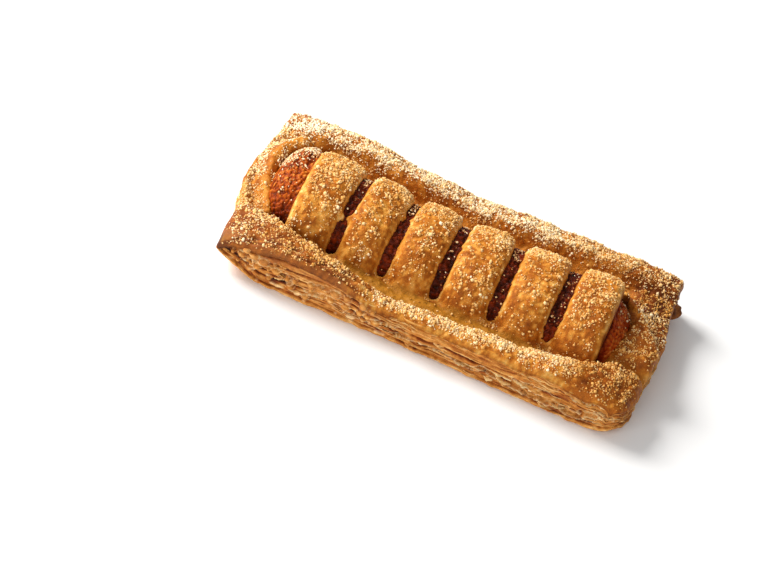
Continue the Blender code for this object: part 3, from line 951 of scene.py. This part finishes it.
def build_leaves(name, seed, levels, reach):
    """Thin leaves standing out of the sides: ragged ribbons round the roll, each closed.

    A ribbon follows the outline at its level, a share of the side's height, wanders up and down, and
    its lip stands out by lumps of reach and droops or lifts.
    """
    random = np.random.default_rng(seed)
    count = 1400
    px, py, nx, ny = outline(count)

    def waver(shift, size, offset):
        """Lumps of a size in mm along the outline; shift tells one ribbon's from the next's."""
        return lumps(px, py, shift, size, seed + offset)

    foot, head = foot_height(px, py), side_top(px, py)
    pieces, faces, tones = [], [], []
    # Section: root, along the top to the rounded lip, and back along the underside.
    steps = np.array([-4.0, -0.8, 0.0, 0.0, -0.8, -4.0])[:, None]
    sides = np.array([1.0, 1.0, 0.4, -0.4, -1.0, -1.0])[:, None]
    share = np.clip((steps + 4) / 4, 0, 1) ** 2
    profile = len(steps)
    ribbon = grid_quads(profile, count, wrap_rows=True, wrap_columns=True)[:, ::-1]
    for number, level in enumerate(levels):
        wander = waver(number * 31.0, 26, 1) + 0.4 * waver(number * 17.0, 9, 2)
        z = foot + 0.5 + (head - foot - 1.0) * level + wander * (0.3 + np.sin(level * np.pi))
        out = reach * (-0.9 + 1.6 * waver(number * 11.0, 16, 3))
        out = out + 0.4 * waver(number * 7.0, 5, 4) + 0.3 * waver(number * 5.0, 1.4, 5)
        out = np.clip(out - 1.4 * smooth_step((-16 - px) / 12) * (py < -20), -2.5, 0.9)
        curl = 0.7 * waver(number * 13.0, 8, 6)
        thick = 0.22 + 0.12 * waver(number * 3.0, 5, 7)
        height = np.maximum(z + sides * thick + curl * share, foot + 0.1)
        stand = out + steps
        pieces.append(np.stack([px + nx * stand, py + ny * stand, height], -1).reshape(-1, 3))
        faces.append(ribbon + number * profile * count)
        tone = 0.34 - 0.20 * share + 0.18 * waver(number * 19.0, 6, 8)
        tone = tone + 0.14 * waver(number * 23.0, 1.5, 9) + 0.12 * random.uniform(-1, 1)
        tones.append(tone.ravel())
    colour = ramp(np.concatenate(tones), LAYER_TONES)
    make_piece(name, np.concatenate(pieces), np.concatenate(faces), leaves, colour)


def curled_flakes(name, seed, places, material, tones):
    """Thin torn flakes, each a closed curved sheet.

    A place is a root point, a direction along the flake, one outwards, its length, reach, lift and
    thickness. The sheet is root + along * a + outwards * b, lifted by b squared and thin at its edge.
    """
    random = np.random.default_rng(seed)
    a, b = np.meshgrid(np.linspace(-1, 1, 9), np.linspace(0, 1, 4))
    rows, columns = a.shape
    rim = grid_rim(rows, columns)
    quads = grid_quads(rows, columns)
    count = a.size
    wall = np.stack([rim, rim + count, np.roll(rim, -1) + count, np.roll(rim, -1)], -1)
    shape = np.concatenate([quads, quads[:, ::-1] + count, wall])
    points, faces, shades = [], [], []
    for number, (root, along, outwards, length, reach, lift, thickness) in enumerate(places):
        along, outwards = np.asarray(along, float), np.asarray(outwards, float)
        face_up = np.cross(along, outwards)
        if face_up[2] < 0:
            along, face_up = -along, -face_up
        torn = 1 - a**2 * random.uniform(0.5, 0.9) + random.uniform(-0.14, 0.14, a.shape) * b
        wave = random.uniform(-0.25, 0.25) * np.sin(a * random.uniform(2, 4) + random.uniform(0, 6))
        rise = lift * b**2 + wave
        middle = (np.asarray(root, float) + along * (a * length / 2)[..., None]
                  + outwards * (b * torn * reach)[..., None] + face_up * rise[..., None])
        thin = (thickness / 2) * (1 - 0.5 * b)[..., None] * face_up
        points.append(np.concatenate([(middle + thin).reshape(-1, 3), (middle - thin).reshape(-1, 3)]))
        faces.append(shape + number * 2 * count)
        tone = random.normal(0.3, 0.16) - 0.15 * b + random.uniform(-0.08, 0.08, a.shape)
        shades.append(np.tile(tone.ravel(), 2))
    colour = ramp(np.concatenate(shades), tones)
    make_piece(name, np.concatenate(points), np.concatenate(faces), material, colour)


def build_side_flakes():
    """Loose flakes on the sides, 2.5 to 8 mm long, rather more of them low down than high up."""
    random = np.random.default_rng(77)
    count = 1200
    px, py, nx, ny = outline(count)
    foot, head = foot_height(px, py), side_top(px, py)
    places = []
    for _ in range(SIDE_FLAKES):
        k = random.integers(count)
        level = random.beta(1.3, 1.8)
        tilt = random.normal(0, 0.10)
        along = np.array([-ny[k], nx[k], tilt])
        outwards = np.array([nx[k], ny[k], random.uniform(-0.5, 0.7)])
        z = foot[k] + 0.9 + (head[k] - foot[k] - 2.2) * level
        root = (px[k] - nx[k] * 1.5, py[k] - ny[k] * 1.5, z)
        reach = random.uniform(1.1, 2.1)
        places.append((root, along / np.linalg.norm(along), outwards / np.linalg.norm(outwards),
                       random.uniform(2.5, 8), reach, random.uniform(-0.2, 0.5), random.uniform(0.2, 0.36)))
    curled_flakes("side_flakes", 78, places, leaves, LAYER_TONES)


def build_rim_flakes():
    """The three big flakes that have lifted off the outer edge of the near rim."""
    places = [
        ((-3, -36.9, 12.6), (0.99, 0.03, 0.02), (0, -0.95, 0.1), 12, 2.6, 0.5, 0.6),
        ((-20, -37.2, 12.0), (0.99, -0.02, 0.05), (0, -0.95, 0.1), 8, 1.9, 0.5, 0.5),
        ((57, -37.2, 13.0), (0.99, 0.0, -0.08), (0, -0.95, 0.0), 9, 2.2, 0.4, 0.5),
    ]
    curled_flakes("rim_flakes", 79, places, crust, ["#DDB26C", "#CC9248", "#B87634", "#9C5A26", "#7E421C"])


def build_burnt_nub():
    """Bead of dough that has run out and burnt at the far end of the right side: a lumpy squashed ball."""
    round_about = np.linspace(0, 2 * np.pi, 48, endpoint=False)
    turn, tilt = np.meshgrid(round_about, np.linspace(0, np.pi, 26)[1:-1])
    ball = (np.cos(turn) * np.sin(tilt), np.sin(turn) * np.sin(tilt), np.cos(tilt))
    radius = 1 + 0.28 * grain(*ball, 0.6, 2, 95)
    points = np.stack([
        79.8 + 3.4 * radius * np.sin(tilt) * np.cos(turn),
        32.5 + 3.4 * radius * np.sin(tilt) * np.sin(turn),
        6.0 + 2.4 * radius * np.cos(tilt),
    ], -1)
    index = np.arange(turn.size).reshape(turn.shape)
    faces = grid_quads(*turn.shape, wrap_columns=True)[:, ::-1]
    tone = 0.62 + 0.3 * lumps(*np.moveaxis(points, -1, 0), 1.5, 96)
    colour = ramp(tone, ["#D9A054", "#A8652A", "#74401C", "#42210F"])
    make_piece("burnt_nub", points.reshape(-1, 3), faces, leaves, colour.reshape(-1, 3),
               caps=[index[0], index[-1, ::-1]])


def build_underside():
    """Flat floor of the base sheet, closed with a hidden top face: faintly blistered and browned."""
    rows, columns = 60, 120
    u, v = np.meshgrid(np.linspace(-1, 1, columns), np.linspace(-1, 1, rows))
    x, y = rounded_plan(u * 0.985, v * 0.97)
    z = foot_height(x, y) + 0.14 + 0.1 * lumps(x, y, 0, 4, 71)
    low = np.stack([x, y, z], -1).reshape(-1, 3)
    high = np.stack([x, y, z + 2.5], -1).reshape(-1, 3)
    rim = grid_rim(rows, columns)
    quads = grid_quads(rows, columns)
    side = np.stack([rim, np.roll(rim, -1), np.roll(rim, -1) + len(low), rim + len(low)], -1)
    faces = np.concatenate([quads[:, ::-1], quads + len(low), side])
    bake = 0.34 + 0.22 * grain(x, y, 0, 12, 3, 72) + 0.1 * lumps(x, y, 0, 1.5, 75)
    colour = ramp(np.tile(bake.ravel(), 2), LAYER_TONES)
    make_piece("base_underside", np.concatenate([low, high]), faces, leaves, colour)


# ---------------------------------------------------------------- crumbs


def surface_normal(height, x, y):
    """Upward unit normal of a height function, from its slopes over half a millimetre."""
    slope_x = (height(x + 0.25, y) - height(x - 0.25, y)) / 0.5
    slope_y = (height(x, y + 0.25) - height(x, y - 0.25)) / 0.5
    normal = np.stack([-slope_x, -slope_y, np.ones_like(x)], -1)
    return normal / np.linalg.norm(normal, axis=-1)[:, None]


def random_turns(random, count):
    """Evenly spread rotation matrices from random unit quaternions."""
    turn = random.normal(size=(4, count))
    w, x, y, z = turn / np.linalg.norm(turn, axis=0)
    rows = [
        [1 - 2 * (y * y + z * z), 2 * (x * y - z * w), 2 * (x * z + y * w)],
        [2 * (x * y + z * w), 1 - 2 * (x * x + z * z), 2 * (y * z - x * w)],
        [2 * (x * z - y * w), 2 * (y * z + x * w), 1 - 2 * (x * x + y * y)],
    ]
    return np.moveaxis(np.array(rows), -1, 0)


GOLDEN = (1 + 5**0.5) / 2
ICOSA_POINTS = np.array(
    [(-1, GOLDEN, 0), (1, GOLDEN, 0), (-1, -GOLDEN, 0), (1, -GOLDEN, 0), (0, -1, GOLDEN), (0, 1, GOLDEN),
     (0, -1, -GOLDEN), (0, 1, -GOLDEN), (GOLDEN, 0, -1), (GOLDEN, 0, 1), (-GOLDEN, 0, -1), (-GOLDEN, 0, 1)]
) / np.hypot(1, GOLDEN)
ICOSA_FACES = np.array(
    [(0, 11, 5), (0, 5, 1), (0, 1, 7), (0, 7, 10), (0, 10, 11), (1, 5, 9), (5, 11, 4), (11, 10, 2),
     (10, 7, 6), (7, 1, 8), (3, 9, 4), (3, 4, 2), (3, 2, 6), (3, 6, 8), (3, 8, 9), (4, 9, 5), (2, 4, 11),
     (6, 2, 10), (8, 6, 7), (9, 8, 1)]
)
OCTA_POINTS = np.array([(1, 0, 0), (-1, 0, 0), (0, 1, 0), (0, -1, 0), (0, 0, 1), (0, 0, -1)], float)
OCTA_FACES = np.array(
    [(0, 2, 4), (2, 1, 4), (1, 3, 4), (3, 0, 4), (2, 0, 5), (1, 2, 5), (3, 1, 5), (0, 3, 5)]
)
ICOSA = (ICOSA_POINTS, ICOSA_FACES)
OCTA = (OCTA_POINTS, OCTA_FACES)

CRUMB_TONES = ["#FBECCE", "#F2D29A", "#E4AE62", "#CC8E40", "#AA6A26"]
FALLEN_TONES = ["#F4E0BC", "#E0B982", "#B8824C", "#8A502A", "#5C2A14"]


def scatter(name, random, centres, normals, radii, colours, shape, rise):
    """One crumb per centre: a jagged little solid with its own turn and stretch, partly sunk.

    Its middle stands out of the surface by rise times its radius.
    """
    corners, triangles = shape
    count = len(centres)
    stretch = random.uniform(0.65, 1.3, (count, 1, 3))
    jag = random.uniform(0.72, 1.22, (count, len(corners), 1))
    body = corners[None] * jag * stretch * radii[:, None, None]
    body = np.einsum("nij,nkj->nki", random_turns(random, count), body)
    points = body + (centres + normals * (radii * rise)[:, None])[:, None]
    faces = triangles[None] + (np.arange(count) * len(corners))[:, None, None]
    shade = np.repeat(colours, len(corners), axis=0)
    make_piece(name, points.reshape(-1, 3), faces.reshape(-1, 3), bread, shade)


def drop_points(random, tries, most, chance):
    """Random points over the outline, kept with the given chance at each, and no more than most."""
    x = random.uniform(-82, 82, tries)
    y = random.uniform(-39.7, 39.7, tries)
    keep = (random.uniform(0, 1, tries) < chance(x, y)) & (border_distance(x, y) > 0.3)
    return x[keep][:most], y[keep][:most]


def mostly_rims(x, y):
    """Chance that leans to the rims: 1 there and 0.6 on the bands."""
    return 1 - 0.4 * on_bands(x, y)


def sprinkle(name, seed, tries, most, power, radii, shape, rise, where=mostly_rims):
    """One size of crumb over the top, its chance at a place the cover there to a power, times where.

    radii are the usual radius and its spread. Tones go from pale at 0 to toasted at 1, and change from
    one part of the top to the next.
    """
    random = np.random.default_rng(seed)
    x, y = drop_points(random, tries, most, lambda x, y: crumb_cover(x, y) ** power * where(x, y))
    normals = surface_normal(sheet_height, x, y)
    centres = np.stack([x, y, sheet_height(x, y)], -1)
    size = np.clip(random.lognormal(np.log(radii[0]), radii[1], len(x)), radii[0] * 0.6, radii[0] * 1.9)
    tone = random.normal(0.43, 0.14, len(x)) + 0.20 * smooth_step((6 - y) / 20) - 0.25 * (y > 28)
    tone = tone - 0.16 * smooth_step((-60 - x) / 10)
    tone = tone - 0.28 * (y < -28) * smooth_step((44 - np.abs(x - 15)) / 10)
    tone = tone - 0.06 * (x > 60) * (y < 20)
    tone = tone + 0.2 * (y > 20) * smooth_step((x - 20) / 30)
    tone = tone + (0.05 - 0.20 * smooth_step((6 - y) / 20)) * on_bands(x, y)
    tone = tone - 0.12 * smooth_step((-22 - x) / 8) * (y < -20)
    scatter(name, random, centres, normals, size, ramp(tone, CRUMB_TONES), shape, rise)


def build_filling_crumbs():
    """Crumbs fallen through the slits onto the mince, most of them towards the far side."""
    random = np.random.default_rng(9)

    def chance(x, y):
        """Chance of a crumb: clustered, only well inside a slit or mouth, higher towards the far side."""
        gap = slit_gap(x, y)
        far = smooth_step((y + 4) / 14)
        clusters = smooth_step((lumps(x, y, 0, 3.0, 94) + 0.05) / 0.4)
        mouth = smooth_step((-59 - x) / 3) * smooth_step((y - 5) / 9)
        in_slits = (0.03 + 0.30 * far) * (0.15 + 0.85 * clusters)
        return (gap < -0.4) * (in_slits + 0.75 * mouth * (0.25 + 0.75 * clusters))

    x, y = drop_points(random, 150000, 9000, chance)
    z = filling_height(x, y)
    keep = z > 13
    x, y, z = x[keep], y[keep], z[keep]
    normals = surface_normal(filling_height, x, y)
    radii = random.uniform(0.2, 0.44, len(x))
    tone = random.normal(0.42, 0.25, len(x)) - 0.20 * (x < -60)
    centres = np.stack([x, y, z + 0.35], -1)
    scatter("filling_crumbs", random, centres, normals, radii, ramp(tone, FALLEN_TONES), ICOSA, 0.3)


# ---------------------------------------------------------------- assemble

add_camera()
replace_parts(build_top_sheet(), "top_sheet")
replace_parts(build_filling(), "filling")
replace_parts(build_sides(), "base_sheet")
build_underside()
build_leaves("side_leaves", 101, np.linspace(0.56, 0.90, 4), 0.8)
build_side_flakes()
build_rim_flakes()
build_burnt_nub()
# Seed, tries, most kept, power of the cover, radii in mm, solid and rise of each size of crumb. Dry
# breadcrumbs are about 0.4 to 1.3 mm across.
sprinkle("coarse_crumbs", 5, 24000, 9600, 1.4, (0.46, 0.22), ICOSA, 0.15)
sprinkle("medium_crumbs", 6, 62000, 24500, 1.4, (0.34, 0.2), OCTA, 0.15)
sprinkle("fine_crumbs", 7, 60000, 24500, 1.0, (0.24, 0.2), OCTA, 0.2)
sprinkle("band_crumbs", 8, 42000, 9600, 1.7, (0.46, 0.25), ICOSA, 0.15, on_bands)
build_filling_crumbs()

add_floor()
add_world()
add_softbox("key_softbox", place=(-760, 180, 620), size=470, power=15.0)
add_softbox("front_softbox", place=(-300, -820, 380), size=600, power=4.0)
bpy.context.scene.view_settings.view_transform = "Standard"
